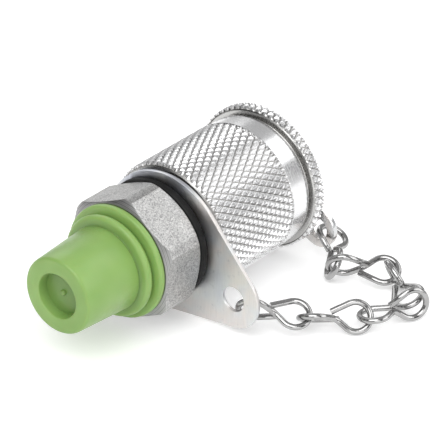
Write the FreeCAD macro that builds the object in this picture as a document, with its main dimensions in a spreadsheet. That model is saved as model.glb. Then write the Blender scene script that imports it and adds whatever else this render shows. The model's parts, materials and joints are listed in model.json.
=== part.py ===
import FreeCAD
import Part
import math
import os
import Sketcher
from FreeCAD import Placement, Rotation, Vector

# Hydraulic test point coupling, lying on its side as it rests on a table.
# The X axis is the turning axis and points from the port stud to the screw cap.
# The origin is the middle of the sealing face where the stud leaves the hexagon.
# The hexagon carries a threaded stud on one side and a threaded neck on the other.
# A soft protective cap covers the stud, and a knurled screw cap covers the neck.
# A sheet retaining plate turns on the neck, and six wire links tie it to the cap.

doc = FreeCAD.newDocument("test_point_coupling")
sheet = doc.addObject("Spreadsheet::Sheet", "dims")

SIZES = [
    ("hex_flats", 17.0, "hexagon across flats"),
    ("hex_long", 7.2, "hexagon length"),
    ("hex_face_rad", 8.35, "radius of the turned face on both hexagon ends"),
    ("hex_corner_off", 0.375, "depth turned off each corner of the hexagon"),
    ("hex_front_bevel", 0.58, "bevel length at a turned corner, stud side"),
    ("hex_rear_bevel", 0.87, "bevel length at a turned corner, neck side"),
    ("bevel_arch", 100.0, "radius of the slight arch of both bevels"),
    ("hex_roll", 8.1, "turn of the hexagon about its axis, degrees"),
    ("stud_rad", 5.0, "stud thread M10, crest radius"),
    ("stud_long", 8.0, "stud length"),
    ("stud_bevel", 0.8, "stud end bevel"),
    ("relief_deep", 0.75, "thread relief, depth below the crest"),
    ("relief_long", 1.6, "thread relief length"),
    ("face_groove_wide", 2.7, "width of the seal groove in the hexagon face"),
    ("face_groove_deep", 1.1, "depth of the seal groove in the hexagon face"),
    ("inlet_rad", 1.8, "inlet bore radius"),
    ("collar_rise", 0.25, "collar of the retaining plate, height over the neck thread"),
    ("lip_rise", 0.2, "low lip that holds the plate on its collar"),
    ("lip_long", 0.3, "lip length"),
    ("neck_relief_deep", 1.05, "thread run-out depth on the neck"),
    ("neck_relief_long", 1.2, "thread run-out length on the neck"),
    ("neck_rad", 7.95, "neck thread M16 x 2, crest radius"),
    ("neck_bevel", 0.9, "neck end bevel"),
    ("chamber_rad", 3.7, "valve chamber radius"),
    ("chamber_floor", 3.0, "floor of the valve chamber, from the sealing face"),
    ("insert_land", 1.66, "land between the two seal grooves of the insert"),
    ("insert_rad", 5.1, "valve insert radius"),
    ("insert_sink", 0.5, "insert end below the neck end"),
    ("insert_wall", 2.3, "wall of the insert round the bore that takes the gauge probe"),
    ("seat_rad", 2.0, "valve seat bore radius"),
    ("seat_long", 2.0, "valve seat length"),
    ("probe_groove_deep", 5.5, "probe seal groove, from the insert's open end"),
    ("probe_seal_wire", 0.9, "probe seal, section radius"),
    ("insert_groove_lead", 2.4, "insert seal groove, from the insert's inner end"),
    ("insert_seal_wire", 0.42, "insert seal, section radius"),
    ("poppet_play", 0.2, "play of the poppet's guide in its chamber"),
    ("poppet_head_long", 3.2, "valve poppet head length"),
    ("poppet_pin_rad", 1.3, "pin of the poppet, pushed by the probe"),
    ("poppet_pin_reach", 3.6, "reach of the pin past the seat face"),
    ("poppet_tail_rad", 1.5, "tail of the poppet, inside the spring"),
    ("poppet_tail_long", 4.4, "tail length"),
    ("poppet_seal_wire", 0.5, "poppet seal, section radius"),
    ("poppet_seal_ring", 2.55, "poppet seal, ring radius"),
    ("spring_wire", 0.3, "valve spring wire radius"),
    ("spring_ring", 2.4, "valve spring, mean coil radius"),
    ("spring_turns", 5.0, "valve spring turns"),
    ("damper_wide", 0.65, "rubber ring width"),
    ("damper_long", 1.3, "rubber ring length"),
    ("plate_rise", 0.41, "round part of the retaining plate, radius past the knurl's"),
    ("plate_shift", 1.18, "centre of the round part, off the axis towards the tail"),
    ("plate_thick", 0.6, "retaining plate thickness"),
    ("tail_past", 2.25, "centre of the tail's round end, past the round part"),
    ("tail_rad", 4.53, "radius of the tail's round end"),
    ("tail_hole_past", 0.29, "centre of the chain hole, past that centre"),
    ("tail_hole_rad", 1.85, "chain hole radius"),
    ("tail_turn", 112.0, "turn of the tail from straight up, degrees"),
    ("cap_wall", 1.95, "screw cap wall with its knurl"),
    ("cap_gap", 1.45, "gap between plate and screw cap"),
    ("cap_mouth_wide", 0.7, "counterbore at the open end, past the bore"),
    ("cap_mouth_long", 1.3, "counterbore length"),
    ("cap_bore_gap", 0.1, "play of the screw cap's bore on the neck"),
    ("cap_knurl_long", 15.25, "length of the long knurl"),
    ("cap_knurl_count", 56, "diamonds round the long knurl"),
    ("flange_knurl_count", 60, "diamonds round the cap flange"),
    ("knurl_deep", 0.34, "depth of both knurls"),
    ("knurl_lean", 30.0, "lean of the knurl's grooves from the axis, degrees"),
    ("cap_band_drop", 0.15, "smooth band, depth below the knurl"),
    ("cap_band_long", 3.55, "smooth band length"),
    ("cap_groove_deep", 0.55, "groove before the cap flange, below the band"),
    ("cap_groove_long", 0.6, "length of that groove"),
    ("cap_flange_rise", 0.8, "cap flange, height over the knurl"),
    ("cap_flange_long", 1.8, "cap flange length"),
    ("cap_recess_gap", 0.5, "play round the rivet's inner head"),
    ("cap_head_thick", 3.4, "end wall of the screw cap"),
    ("cap_recess_long", 1.85, "recess for the rivet, past the flat seal"),
    ("cap_seal_long", 1.5, "flat seal inside the cap, thickness"),
    ("cap_seal_gap", 0.6, "flat seal's bore, past the recess"),
    ("rivet_rad", 1.5, "rivet shank radius"),
    ("rivet_head_wide", 1.4, "rivet head, width past the shank"),
    ("rivet_head_long", 1.0, "rivet head length"),
    ("washer_wide", 0.9, "washer under the tag, past the rivet head"),
    ("washer_thick", 0.4, "washer thickness"),
    ("tag_thick", 0.9, "tag thickness"),
    ("tag_hub_wide", 1.5, "round end of the tag, past the rivet head"),
    ("tag_eye_past", 0.1, "centre of the tag's eye, past the cap flange"),
    ("tag_eye_wide", 1.25, "sheet round the tag's eye"),
    ("tag_hole_rad", 1.65, "hole of the tag's eye"),
    ("tag_turn", 123.0, "turn of the tag from straight up, degrees"),
    ("plug_past", 4.8, "protective cap, length past the stud"),
    ("plug_side", 0.6, "protective cap, tip over the stud"),
    ("plug_taper", 0.6, "protective cap, base over the tip"),
    ("plug_rim", 2.3, "rim round the recess in the tip"),
    ("plug_recess_deep", 1.5, "depth of that recess"),
    ("plug_nub_rad", 0.35, "moulding nub in the recess"),
    ("plug_nub_long", 0.3, "length of the nub"),
    ("plug_wall", 0.8, "wall behind the recess"),
    ("plug_bead_rise", 1.25, "bead ring, height over the base"),
    ("plug_bead_long", 1.3, "bead ring length"),
    ("plug_groove_long", 0.4, "groove between bead and flange"),
    ("plug_groove_deep", 0.9, "depth of that groove, below the bead"),
    ("plug_flange_rise", 0.85, "flange, height over the bead"),
    ("plug_flange_start", 1.0, "flange start, from the sealing face"),
    ("stud_seal_long", 1.0, "elastomer ring thickness"),
    ("damper_round", 0.39, "rounding of the rubber ring's outer edges"),
    ("probe_squeeze", 0.3, "reach of the probe seal into its bore"),
    ("probe_mouth", 0.6, "widening of the probe bore at both ends"),
    ("probe_mouth_long", 1.0, "length of the widening at the open end"),
    ("poppet_neck_long", 0.6, "slope of the poppet's head behind its seal"),
    ("groove_slack", 0.1, "extra width of the seal grooves"),
    ("seat_gap", 0.02, "clearance between seals and their grooves"),
    ("rivet_foot_bevel", 0.3, "bevel of the rivet's inner head"),
    ("rivet_brow_wide", 0.965, "rivet head, where its dome starts, past the shank"),
    ("rivet_brow_deep", 0.5, "rivet head, depth where its dome starts"),
    ("rivet_dome_wide", 0.095, "rivet head, half way up its dome, past the shank"),
    ("rivet_dome_deep", 0.15, "rivet head, depth of that place"),
    ("rivet_crown_rad", 0.58, "rivet head, radius of its flat crown"),
    ("plug_bead_round", 0.6, "rounding of the bead ring"),
    ("plug_flange_round", 0.475, "rounding of the flange"),
    ("plug_tip_round", 0.4, "rounding of the tip"),
    ("link_wire", 0.45, "chain wire radius"),
    ("link_loop", 2.06, "centre line radius of a link's loop"),
    ("link_reach", 2.86, "loop centre, from the middle of the link"),
    ("link_offset", 0.27, "sideways place of the loop centre"),
    ("link_end_back", 0.63, "free wire end, past the middle of the link"),
    ("link_end_side", 0.88, "free wire end, beside the middle of the link"),
    ("link_twist", 0.9, "run of the through strand before its bend"),
    ("running_gap", 0.08, "radial clearance of turning and sliding fits"),
    ("face_gap", 0.05, "clearance between faces of moving pieces"),
]


class Size:
    """A number that also knows its spreadsheet expression."""

    def __init__(self, number, text=None):
        self.number = float(number)
        self.text = text if text is not None else repr(float(number))

    def joined(self, sign, other, number):
        return Size(number, "(%s %s %s)" % (self.text, sign, other.text))

    def __add__(self, other):
        other = as_size(other)
        return self.joined("+", other, self.number + other.number)

    def __sub__(self, other):
        other = as_size(other)
        return self.joined("-", other, self.number - other.number)

    def __mul__(self, other):
        other = as_size(other)
        return self.joined("*", other, self.number * other.number)

    def __truediv__(self, other):
        other = as_size(other)
        return self.joined("/", other, self.number / other.number)

    def __neg__(self):
        return Size(-self.number, "(0 - %s)" % self.text)


def as_size(value):
    return value if isinstance(value, Size) else Size(value)


class Dims:
    """The spreadsheet's aliases as attributes."""


dims = Dims()
for row, (alias, number, note) in enumerate(SIZES, start=1):
    sheet.set("A%d" % row, note)
    sheet.set("B%d" % row, str(number))
    sheet.setAlias("B%d" % row, alias)
    setattr(dims, alias, Size(number, "dims." + alias))
doc.recompute()

ON_AXIS = Size(0.0)
HEX_CORNER = dims.hex_flats / (2 * math.cos(math.pi / 6))
HEX_TURNED_RAD = HEX_CORNER - dims.hex_corner_off
SLACK = Size(1.0)
QUARTER_TURN = 90

# Radii, each worked out from the piece that it fits on or covers.
RELIEF_RAD = dims.stud_rad - dims.relief_deep
FACE_GROOVE_RAD = RELIEF_RAD + dims.face_groove_wide
NECK_RELIEF_RAD = dims.neck_rad - dims.neck_relief_deep
COLLAR_RAD = dims.neck_rad + dims.collar_rise
LIP_RAD = COLLAR_RAD + dims.lip_rise
DAMPER_RAD = COLLAR_RAD + dims.damper_wide
PROBE_RAD = dims.insert_rad - dims.insert_wall
POPPET_RAD = dims.chamber_rad - dims.poppet_play
CAP_BORE_RAD = dims.neck_rad + dims.cap_bore_gap
CAP_MOUTH_RAD = CAP_BORE_RAD + dims.cap_mouth_wide
CAP_RAD = CAP_BORE_RAD + dims.cap_wall
CAP_BAND_RAD = CAP_RAD - dims.cap_band_drop
CAP_NECK_RAD = CAP_BAND_RAD - dims.cap_groove_deep
CAP_FLANGE_RAD = CAP_RAD + dims.cap_flange_rise
KNURL_ROOT_DEPTH = dims.knurl_deep * 2
KNURL_SEAT_DEPTH = dims.knurl_deep * 1.5
RIVET_HEAD_RAD = dims.rivet_rad + dims.rivet_head_wide
RIVET_BROW_RAD = dims.rivet_rad + dims.rivet_brow_wide
RIVET_DOME_RAD = dims.rivet_rad + dims.rivet_dome_wide
CAP_RECESS_RAD = RIVET_HEAD_RAD + dims.cap_recess_gap
CAP_SEAL_BORE = CAP_RECESS_RAD + dims.cap_seal_gap
WASHER_RAD = RIVET_HEAD_RAD + dims.washer_wide
TAG_HUB_RAD = RIVET_HEAD_RAD + dims.tag_hub_wide
TAG_EYE_REACH = CAP_FLANGE_RAD + dims.tag_eye_past
TAG_EYE_RAD = dims.tag_hole_rad + dims.tag_eye_wide
PLATE_RAD = CAP_RAD + dims.plate_rise
TAIL_REACH = dims.plate_shift + PLATE_RAD + dims.tail_past
TAIL_HOLE_REACH = TAIL_REACH + dims.tail_hole_past
PLUG_TIP_RAD = dims.stud_rad + dims.plug_side
PLUG_BASE_RAD = PLUG_TIP_RAD + dims.plug_taper
PLUG_RECESS_RAD = PLUG_TIP_RAD - dims.plug_rim
PLUG_BEAD_RAD = PLUG_BASE_RAD + dims.plug_bead_rise
PLUG_NECK_RAD = PLUG_BEAD_RAD - dims.plug_groove_deep
PLUG_FLANGE_RAD = PLUG_BEAD_RAD + dims.plug_flange_rise

# Places along the axis, each worked out from the piece before it.
PLATE_START = dims.hex_long + dims.damper_long + dims.face_gap
PLATE_END = PLATE_START + dims.plate_thick
LIP_START = PLATE_END + dims.face_gap
LIP_END = LIP_START + dims.lip_long
THREAD_START = LIP_END + dims.neck_relief_long
CAP_START = PLATE_END + dims.cap_gap
CAP_KNURL_END = CAP_START + dims.cap_knurl_long
CAP_BAND_END = CAP_KNURL_END + dims.cap_band_long
CAP_FLANGE_START = CAP_BAND_END + dims.cap_groove_long
CAP_END = CAP_FLANGE_START + dims.cap_flange_long
CAP_RECESS_FLOOR = CAP_END - dims.cap_head_thick
CAP_SEAL_END = CAP_RECESS_FLOOR - dims.cap_recess_long
CAP_SEAL_START = CAP_SEAL_END - dims.cap_seal_long
NECK_END = CAP_SEAL_START - dims.face_gap
INSERT_END = NECK_END - dims.insert_sink
PROBE_GROOVE_RAD = PROBE_RAD - dims.probe_squeeze + dims.probe_seal_wire * 2
PROBE_GROOVE_LONG = dims.probe_seal_wire * 2 + dims.groove_slack
INSERT_GROOVE_LONG = dims.insert_seal_wire * 2 + dims.groove_slack
PROBE_GROOVE_START = INSERT_END - dims.probe_groove_deep
INSERT_GROOVE_START = PROBE_GROOVE_START - dims.insert_land - INSERT_GROOVE_LONG
INSERT_START = INSERT_GROOVE_START - dims.insert_groove_lead
SEAT_END = INSERT_START + dims.seat_long
POPPET_FACE = INSERT_START - dims.poppet_seal_wire * 0.5
POPPET_BACK = POPPET_FACE - dims.poppet_head_long
WASHER_START = CAP_END + dims.face_gap
TAG_START = WASHER_START + dims.washer_thick + dims.face_gap
TAG_END = TAG_START + dims.tag_thick
RIVET_HEAD_START = TAG_END + dims.face_gap
RIVET_INNER_END = CAP_RECESS_FLOOR - dims.face_gap
PLUG_LONG = dims.stud_long + dims.plug_past
PLUG_BEAD_END = dims.plug_flange_start + dims.plug_groove_long
PLUG_BEAD_START = PLUG_BEAD_END + dims.plug_bead_long


def plane_of(body, role):
    for feature in body.Origin.OriginFeatures:
        if feature.Role == role:
            return feature


def new_sketch(body, name, role):
    sketch = body.newObject("Sketcher::SketchObject", name)
    sketch.AttachmentSupport = [(plane_of(body, role), "")]
    sketch.MapMode = "FlatFace"
    return sketch


def pin_down(sketch, line, corner):
    """Fixes the start of a line at its place along and away from the axis."""
    along, away = corner
    if along.number == 0.0:
        sketch.addConstraint(Sketcher.Constraint("PointOnObject", line, 1, -2))
    else:
        index = sketch.addConstraint(Sketcher.Constraint("DistanceX", -1, 1, line, 1, along.number))
        sketch.setExpression("Constraints[%d]" % index, along.text)
    if away.number == 0.0:
        sketch.addConstraint(Sketcher.Constraint("PointOnObject", line, 1, -1))
    else:
        index = sketch.addConstraint(Sketcher.Constraint("DistanceY", -1, 1, line, 1, away.number))
        sketch.setExpression("Constraints[%d]" % index, away.text)


def arch(start, end, radius):
    """An arc from start to end, its centre on the left of the way."""
    chord = end - start
    half = chord.Length / 2
    rise = radius - math.sqrt(radius * radius - half * half)
    outward = Vector(chord.y, -chord.x, 0).normalize()
    return Part.Arc(start, (start + end) / 2 + outward * rise, end)


def profile(body, name, corners, arched=None):
    """A closed outline in the XY plane, each corner given as (along, away).

    The side that starts at the corner numbered arched is a slight arch.
    """
    sketch = new_sketch(body, name, "XY_Plane")
    count = len(corners)
    points = [Vector(along.number, away.number, 0) for along, away in corners]
    for index in range(count):
        start, end = points[index], points[(index + 1) % count]
        if index == arched:
            sketch.addGeometry(arch(start, end, dims.bevel_arch.number), False)
        else:
            sketch.addGeometry(Part.LineSegment(start, end), False)
    for index in range(count):
        following = (index + 1) % count
        sketch.addConstraint(Sketcher.Constraint("Coincident", index, 2, following, 1))
    for index in range(count):
        pin_down(sketch, index, corners[index])
    if arched is not None:
        index = sketch.addConstraint(
            Sketcher.Constraint("Radius", arched, dims.bevel_arch.number))
        sketch.setExpression("Constraints[%d]" % index, dims.bevel_arch.text)
    return sketch


def sized(corners):
    return [(as_size(along), as_size(away)) for along, away in corners]


def turn(body, name, corners, kind="PartDesign::Revolution", arched=None):
    """Turns an outline about the X axis, or cuts it away as a Groove."""
    sketch = profile(body, name + "_outline", sized(corners), arched)
    feature = body.newObject(kind, name)
    feature.Profile = sketch
    feature.ReferenceAxis = (sketch, ["H_Axis"])
    feature.Angle = 360
    doc.recompute()
    return feature


def cut_round(body, name, corners, arched=None):
    before = body.Shape.Volume
    feature = turn(body, name, corners, "PartDesign::Groove", arched)
    if not body.Shape.Volume < before:
        raise RuntimeError(name + " cuts nothing")
    return feature


def rims(feature, places):
    """Names of the circular edges that lie at the given (along, away) places."""
    found = []
    for along, away in places:
        for number, edge in enumerate(feature.Shape.Edges, start=1):
            curve = edge.Curve
            if not isinstance(curve, Part.Circle):
                continue
            near = abs(curve.Center.x - along.number) < 1e-4
            if near and abs(curve.Radius - away.number) < 1e-4:
                found.append("Edge%d" % number)
    if len(found) < len(places):
        raise RuntimeError("a rim is missing on " + feature.Name)
    return found


def round_rims(body, feature, name, places, radius):
    fillet = body.newObject("PartDesign::Fillet", name)
    fillet.Base = (feature, rims(feature, sized(places)))
    fillet.setExpression("Radius", as_size(radius).text)
    doc.recompute()
    return fillet


def new_body(name):
    body = doc.addObject("PartDesign::Body", name)
    body.Label = name
    return body


def turned_piece(name, corners):
    body = new_body(name)
    turn(body, name + "_turned", corners)
    return body


def torus_ring(name, ring, wire, along):
    """An O-ring about the X axis."""
    torus = doc.addObject("Part::Torus", name)
    torus.Label = name
    torus.setExpression("Radius1", as_size(ring).text)
    torus.setExpression("Radius2", as_size(wire).text)
    torus.Placement = Placement(Vector(0, 0, 0), Rotation(Vector(0, 1, 0), QUARTER_TURN))
    torus.setExpression("Placement.Base.x", as_size(along).text)
    return torus


# The coupling body is one bar of hexagon steel: stud, hexagon, collar and neck.

def hexagon_sketch(body):
    sketch = new_sketch(body, "hexagon_outline", "YZ_Plane")
    corner = HEX_CORNER.number
    points = [Vector(corner * math.cos(turn_by), corner * math.sin(turn_by), 0)
              for turn_by in [math.pi / 3 * step for step in range(6)]]
    for index in range(6):
        sketch.addGeometry(Part.LineSegment(points[index], points[(index + 1) % 6]), False)
    circle = sketch.addGeometry(Part.Circle(Vector(0, 0, 0), Vector(0, 0, 1), corner), True)
    for index in range(6):
        sketch.addConstraint(Sketcher.Constraint("Coincident", index, 2, (index + 1) % 6, 1))
    sketch.addConstraint(Sketcher.Constraint("Coincident", circle, 3, -1, 1))
    for index in range(6):
        sketch.addConstraint(Sketcher.Constraint("PointOnObject", index, 1, circle))
    for index in range(1, 6):
        sketch.addConstraint(Sketcher.Constraint("Equal", 0, index))
    sketch.addConstraint(Sketcher.Constraint("PointOnObject", 0, 1, -1))
    radius = sketch.addConstraint(Sketcher.Constraint("Radius", circle, corner))
    sketch.setExpression("Constraints[%d]" % radius, HEX_CORNER.text)
    return sketch


def coupling_body():
    body = new_body("coupling_body")
    pad = body.newObject("PartDesign::Pad", "hexagon")
    pad.Profile = hexagon_sketch(body)
    pad.setExpression("Length", dims.hex_long.text)
    doc.recompute()
    outside = HEX_CORNER + SLACK
    slope = (outside - dims.hex_face_rad) / (HEX_TURNED_RAD - dims.hex_face_rad)
    cut_round(body, "turned_corners", [
        (ON_AXIS, HEX_TURNED_RAD),
        (ON_AXIS, outside),
        (dims.hex_long, outside),
        (dims.hex_long, HEX_TURNED_RAD)])
    cut_round(body, "front_bevel", [
        (ON_AXIS, dims.hex_face_rad),
        (ON_AXIS, outside),
        (dims.hex_front_bevel * slope, outside)], arched=2)
    cut_round(body, "rear_bevel", [
        (dims.hex_long, dims.hex_face_rad),
        (dims.hex_long - dims.hex_rear_bevel * slope, outside),
        (dims.hex_long, outside)], arched=0)
    turn(body, "stud_and_neck", [
        (-dims.stud_long, ON_AXIS),
        (-dims.stud_long, dims.stud_rad - dims.stud_bevel),
        (dims.stud_bevel - dims.stud_long, dims.stud_rad),
        (-dims.relief_long, dims.stud_rad),
        (-dims.relief_long, RELIEF_RAD),
        (dims.face_groove_deep, RELIEF_RAD),
        (dims.face_groove_deep + SLACK, COLLAR_RAD),
        (LIP_START, COLLAR_RAD),
        (LIP_START, LIP_RAD),
        (LIP_END, LIP_RAD),
        (LIP_END, NECK_RELIEF_RAD),
        (THREAD_START, NECK_RELIEF_RAD),
        (THREAD_START + (dims.neck_rad - NECK_RELIEF_RAD), dims.neck_rad),
        (NECK_END - dims.neck_bevel, dims.neck_rad),
        (NECK_END, dims.neck_rad - dims.neck_bevel),
        (NECK_END, ON_AXIS)])
    cut_round(body, "seal_groove", [
        (-SLACK, RELIEF_RAD),
        (-SLACK, dims.stud_rad - dims.seat_gap),
        (ON_AXIS, dims.stud_rad - dims.seat_gap),
        (ON_AXIS, FACE_GROOVE_RAD),
        (dims.face_groove_deep, FACE_GROOVE_RAD),
        (dims.face_groove_deep, RELIEF_RAD)])
    cut_round(body, "bores", [
        (-dims.stud_long - SLACK, ON_AXIS),
        (-dims.stud_long - SLACK, dims.inlet_rad),
        (dims.chamber_floor, dims.inlet_rad),
        (dims.chamber_floor, dims.chamber_rad),
        (INSERT_START, dims.chamber_rad),
        (INSERT_START, dims.insert_rad),
        (NECK_END + SLACK, dims.insert_rad),
        (NECK_END + SLACK, ON_AXIS)])
    body.Placement = Placement(Vector(0, 0, 0), Rotation(Vector(1, 0, 0), 0))
    body.setExpression("Placement.Rotation.Axis.x", "1")
    body.setExpression("Placement.Rotation.Angle", (dims.hex_roll + QUARTER_TURN).text)
    return body


def stud_seal():
    start = dims.face_groove_deep - dims.stud_seal_long
    return turned_piece("stud_seal", [
        (start, RELIEF_RAD + dims.face_gap),
        (start, FACE_GROOVE_RAD - dims.face_gap),
        (dims.face_groove_deep, FACE_GROOVE_RAD - dims.face_gap),
        (dims.face_groove_deep, RELIEF_RAD + dims.face_gap)])


def damper_ring():
    body = turned_piece("damper_ring", [
        (dims.hex_long, COLLAR_RAD),
        (dims.hex_long, DAMPER_RAD),
        (dims.hex_long + dims.damper_long, DAMPER_RAD),
        (dims.hex_long + dims.damper_long, COLLAR_RAD)])
    places = [(dims.hex_long, DAMPER_RAD),
              (dims.hex_long + dims.damper_long, DAMPER_RAD)]
    round_rims(body, body.Tip, "ring_rounds", places, dims.damper_round)
    return body


def valve_insert():
    groove_end = PROBE_GROOVE_START + PROBE_GROOVE_LONG
    seal_end = INSERT_GROOVE_START + INSERT_GROOVE_LONG
    seal_floor = dims.insert_rad - dims.insert_seal_wire * 2 - dims.seat_gap
    return turned_piece("valve_insert", [
        (INSERT_START, dims.seat_rad),
        (INSERT_START, dims.insert_rad),
        (INSERT_GROOVE_START, dims.insert_rad),
        (INSERT_GROOVE_START, seal_floor),
        (seal_end, seal_floor),
        (seal_end, dims.insert_rad),
        (INSERT_END, dims.insert_rad),
        (INSERT_END, PROBE_RAD + dims.probe_mouth),
        (INSERT_END - dims.probe_mouth_long, PROBE_RAD),
        (groove_end, PROBE_RAD),
        (groove_end, PROBE_GROOVE_RAD),
        (PROBE_GROOVE_START, PROBE_GROOVE_RAD),
        (PROBE_GROOVE_START, PROBE_RAD),
        (SEAT_END + dims.probe_mouth, PROBE_RAD),
        (SEAT_END, dims.seat_rad)])


def valve_poppet():
    groove_back = INSERT_START - dims.poppet_seal_wire * 2 - dims.face_gap
    groove_rad = dims.poppet_seal_ring - dims.poppet_seal_wire - dims.seat_gap
    return turned_piece("valve_poppet", [
        (POPPET_BACK - dims.poppet_tail_long, ON_AXIS),
        (POPPET_BACK - dims.poppet_tail_long, dims.poppet_tail_rad),
        (POPPET_BACK, dims.poppet_tail_rad),
        (POPPET_BACK, POPPET_RAD),
        (groove_back - dims.poppet_neck_long, POPPET_RAD),
        (groove_back, dims.poppet_seal_ring + dims.poppet_seal_wire),
        (groove_back, groove_rad),
        (POPPET_FACE, groove_rad),
        (POPPET_FACE, dims.poppet_pin_rad),
        (INSERT_START + dims.poppet_pin_reach, dims.poppet_pin_rad),
        (INSERT_START + dims.poppet_pin_reach, ON_AXIS)])


def seals():
    torus_ring("probe_seal", PROBE_GROOVE_RAD - dims.probe_seal_wire - dims.seat_gap,
               dims.probe_seal_wire, PROBE_GROOVE_START + PROBE_GROOVE_LONG / 2)
    torus_ring("insert_seal", dims.insert_rad - dims.insert_seal_wire - dims.seat_gap / 2,
               dims.insert_seal_wire, INSERT_GROOVE_START + INSERT_GROOVE_LONG / 2)
    torus_ring("poppet_seal", dims.poppet_seal_ring, dims.poppet_seal_wire,
               INSERT_START - dims.poppet_seal_wire - dims.seat_gap)


def valve_spring():
    """A wire helix with the poppet's head at one end and the chamber floor at the other."""
    start = dims.chamber_floor.number + dims.spring_wire.number + dims.face_gap.number
    end = POPPET_BACK.number - dims.spring_wire.number - dims.face_gap.number
    turns = dims.spring_turns.number
    ring = dims.spring_ring.number
    helix = Part.makeHelix((end - start) / turns, end - start, ring)
    circle = Part.Circle(Vector(ring, 0, 0), Vector(0, 1, 0), dims.spring_wire.number)
    coil = Part.Wire(helix.Edges).makePipeShell([Part.Wire([circle.toShape()])], True, True)
    spring = doc.addObject("Part::Feature", "valve_spring")
    spring.Label = "valve_spring"
    spring.Shape = coil
    spring.Placement = Placement(Vector(start, 0, 0), Rotation(Vector(0, 1, 0), QUARTER_TURN))
    return spring


def tailed_sketch(body, name, big, shift, reach, small):
    """Two round ends joined by their outer tangents, both centres on the sketch's X axis."""
    sketch = new_sketch(body, name, "XY_Plane")
    lean = math.acos((big.number - small.number) / (reach.number - shift.number))
    near = Vector(shift.number, 0, 0)
    far = Vector(reach.number, 0, 0)

    def on_big(turn_by):
        return near + Vector(big.number * math.cos(turn_by), big.number * math.sin(turn_by), 0)

    def on_small(turn_by):
        return far + Vector(small.number * math.cos(turn_by), small.number * math.sin(turn_by), 0)

    round_end = Part.ArcOfCircle(Part.Circle(near, Vector(0, 0, 1), big.number),
                                 lean, 2 * math.pi - lean)
    tail_end = Part.ArcOfCircle(Part.Circle(far, Vector(0, 0, 1), small.number), -lean, lean)
    sketch.addGeometry(round_end, False)
    sketch.addGeometry(Part.LineSegment(on_big(-lean), on_small(-lean)), False)
    sketch.addGeometry(tail_end, False)
    sketch.addGeometry(Part.LineSegment(on_small(lean), on_big(lean)), False)
    if shift.number == 0.0:
        sketch.addConstraint(Sketcher.Constraint("Coincident", 0, 3, -1, 1))
    else:
        sketch.addConstraint(Sketcher.Constraint("PointOnObject", 0, 3, -1))
        index = sketch.addConstraint(Sketcher.Constraint("DistanceX", -1, 1, 0, 3, shift.number))
        sketch.setExpression("Constraints[%d]" % index, shift.text)
    sketch.addConstraint(Sketcher.Constraint("PointOnObject", 2, 3, -1))
    sketch.addConstraint(Sketcher.Constraint("Tangent", 0, 2, 1, 1))
    sketch.addConstraint(Sketcher.Constraint("Tangent", 1, 2, 2, 1))
    sketch.addConstraint(Sketcher.Constraint("Tangent", 2, 2, 3, 1))
    sketch.addConstraint(Sketcher.Constraint("Tangent", 3, 2, 0, 1))
    for kind, geometry, size in (("Radius", 0, big), ("Radius", 2, small)):
        index = sketch.addConstraint(Sketcher.Constraint(kind, geometry, size.number))
        sketch.setExpression("Constraints[%d]" % index, size.text)
    index = sketch.addConstraint(Sketcher.Constraint("DistanceX", -1, 1, 2, 3, reach.number))
    sketch.setExpression("Constraints[%d]" % index, reach.text)
    return sketch


def add_hole(sketch, reach, radius):
    """A round hole on the sketch's own X axis."""
    hole = sketch.addGeometry(
        Part.Circle(Vector(reach.number, 0, 0), Vector(0, 0, 1), radius.number), False)
    if reach.number == 0.0:
        sketch.addConstraint(Sketcher.Constraint("Coincident", hole, 3, -1, 1))
    else:
        sketch.addConstraint(Sketcher.Constraint("PointOnObject", hole, 3, -1))
        index = sketch.addConstraint(Sketcher.Constraint("DistanceX", -1, 1, hole, 3, reach.number))
        sketch.setExpression("Constraints[%d]" % index, reach.text)
    index = sketch.addConstraint(Sketcher.Constraint("Radius", hole, radius.number))
    sketch.setExpression("Constraints[%d]" % index, radius.text)


def flat_piece(name, sketch_of, thick, start, turn_by):
    """A stamped sheet piece square to the axis, its tail turned down from straight up."""
    body = new_body(name)
    pad = body.newObject("PartDesign::Pad", name + "_sheet")
    pad.Profile = sketch_of(body)
    pad.setExpression("Length", thick.text)
    doc.recompute()
    lean = math.radians(turn_by.number)
    tail = Vector(0, -math.sin(lean), math.cos(lean))
    across = Vector(1, 0, 0)
    body.Placement = Placement(Vector(start.number, 0, 0),
                               Rotation(tail, across.cross(tail), across, "ZXY"))
    return body


def retaining_plate():
    def outline(body):
        sketch = tailed_sketch(body, "plate_outline", PLATE_RAD, dims.plate_shift,
                               TAIL_REACH, dims.tail_rad)
        add_hole(sketch, ON_AXIS, COLLAR_RAD + dims.running_gap)
        add_hole(sketch, TAIL_HOLE_REACH, dims.tail_hole_rad)
        return sketch
    return flat_piece("retaining_plate", outline, dims.plate_thick, PLATE_START, dims.tail_turn)


def chain_tag():
    def outline(body):
        sketch = tailed_sketch(body, "tag_outline", TAG_HUB_RAD, ON_AXIS,
                               TAG_EYE_REACH, TAG_EYE_RAD)
        add_hole(sketch, ON_AXIS, dims.rivet_rad + dims.running_gap)
        add_hole(sketch, TAG_EYE_REACH, dims.tag_hole_rad)
        return sketch
    return flat_piece("chain_tag", outline, dims.tag_thick, TAG_START, dims.tag_turn)


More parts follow.
